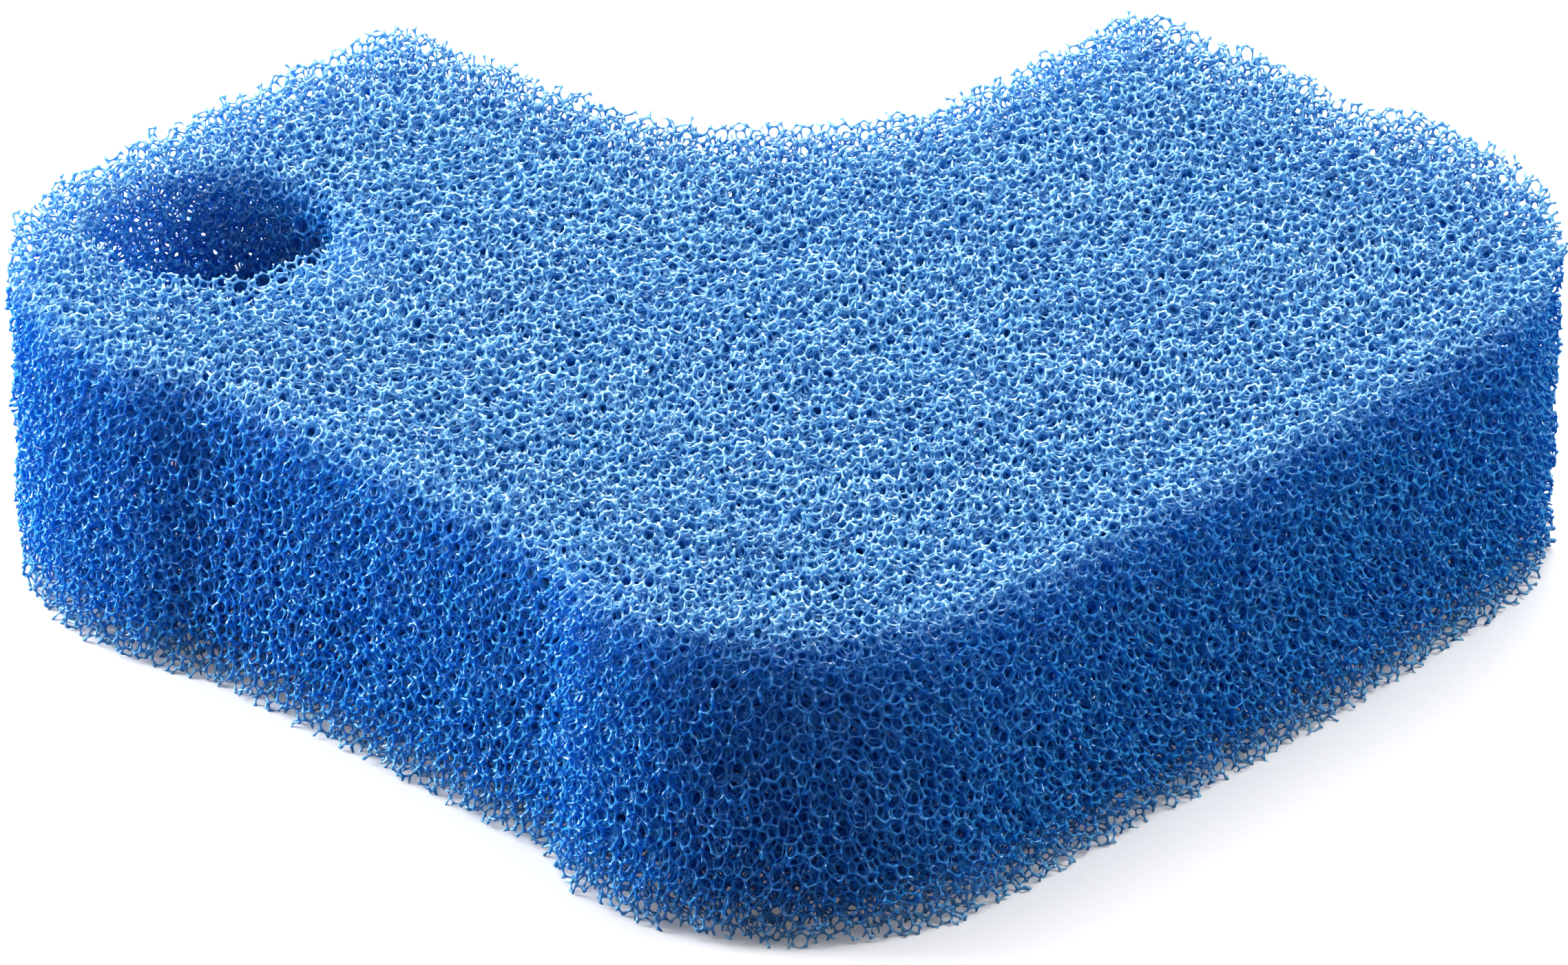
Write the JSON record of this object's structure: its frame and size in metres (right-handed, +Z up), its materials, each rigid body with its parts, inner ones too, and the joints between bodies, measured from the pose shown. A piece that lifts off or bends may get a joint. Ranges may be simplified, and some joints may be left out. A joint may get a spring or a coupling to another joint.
{
  "type": "canister filter sponge",
  "caption": "Square slab of coarse open-cell filter foam with rounded corners, a corner notch for a shaft and a round pipe hole.",
  "frame": {"origin": "middle of the slab's bounding rectangle, on its underside, which rests on the basket floor", "axes": "+Z up through the slab's thickness; +X along the stepped front side, which faces -Y; the shaft notch is at the -X +Y corner"},
  "size_m": [0.1896, 0.192, 0.05],
  "materials": {
    "blue_foam": "satin"
  },
  "bodies": {
    "root": {"foam_block": "blue_foam"}
  },
  "joints": []
}
